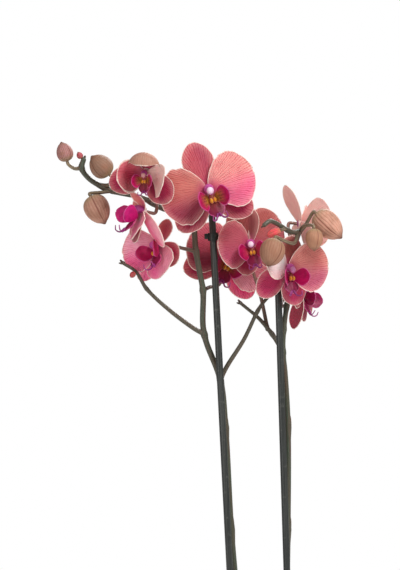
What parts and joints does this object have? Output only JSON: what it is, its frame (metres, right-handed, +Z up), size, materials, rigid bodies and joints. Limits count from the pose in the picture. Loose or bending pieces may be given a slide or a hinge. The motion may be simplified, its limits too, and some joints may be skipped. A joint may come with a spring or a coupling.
{
  "type": "potted moth orchid",
  "caption": "Potted moth orchid: arching flower spikes of coral-pink blooms with crimson lips, clipped to dark stakes above strap leaves, in a round pot of bark.",
  "frame": {"origin": "centre of the flat underside of the pot", "axes": "+Z up, +X to the right of the side that the flowers face, which looks along -Y"},
  "size_m": [0.27, 0.3712, 0.6195],
  "materials": {
    "pot": "satin",
    "bark": "matte",
    "crown": "satin",
    "root": "matte",
    "leaf": "satin",
    "spike": "satin",
    "stake": "satin",
    "clip": "satin",
    "tepals": "satin",
    "lip": "satin",
    "bud": "satin",
    "young_bud": "satin"
  },
  "bodies": {
    "root": {"pot": "pot", "bark": "bark", "crown": "crown", "root_1": "root", "root_2": "root", "root_3": "root", "leaf_1": "leaf", "leaf_2": "leaf", "leaf_3": "leaf", "leaf_4": "leaf", "leaf_5": "leaf", "spike_left": "spike", "spike_right": "spike", "stake_left": "stake", "stake_right": "stake", "clip_upper": "clip", "clip_left": "clip", "clip_right": "clip", "bloom_1_tepals": "tepals", "bloom_2_tepals": "tepals", "bloom_3_tepals": "tepals", "bloom_4_tepals": "tepals", "bloom_5_tepals": "tepals", "bloom_6_tepals": "tepals", "bloom_7_tepals": "tepals", "bloom_8_tepals": "tepals", "bloom_9_tepals": "tepals", "bloom_1_lip": "lip", "bloom_2_lip": "lip", "bloom_3_lip": "lip", "bloom_4_lip": "lip", "bloom_5_lip": "lip", "bloom_6_lip": "lip", "bloom_7_lip": "lip", "bloom_8_lip": "lip", "bloom_9_lip": "lip", "bud_1": "bud", "bud_2": "bud", "bud_3": "bud", "bud_4": "bud", "bud_5": "bud", "bud_6": "bud", "young_bud_1": "young_bud", "young_bud_2": "young_bud", "young_bud_3": "young_bud"}
  },
  "joints": []
}
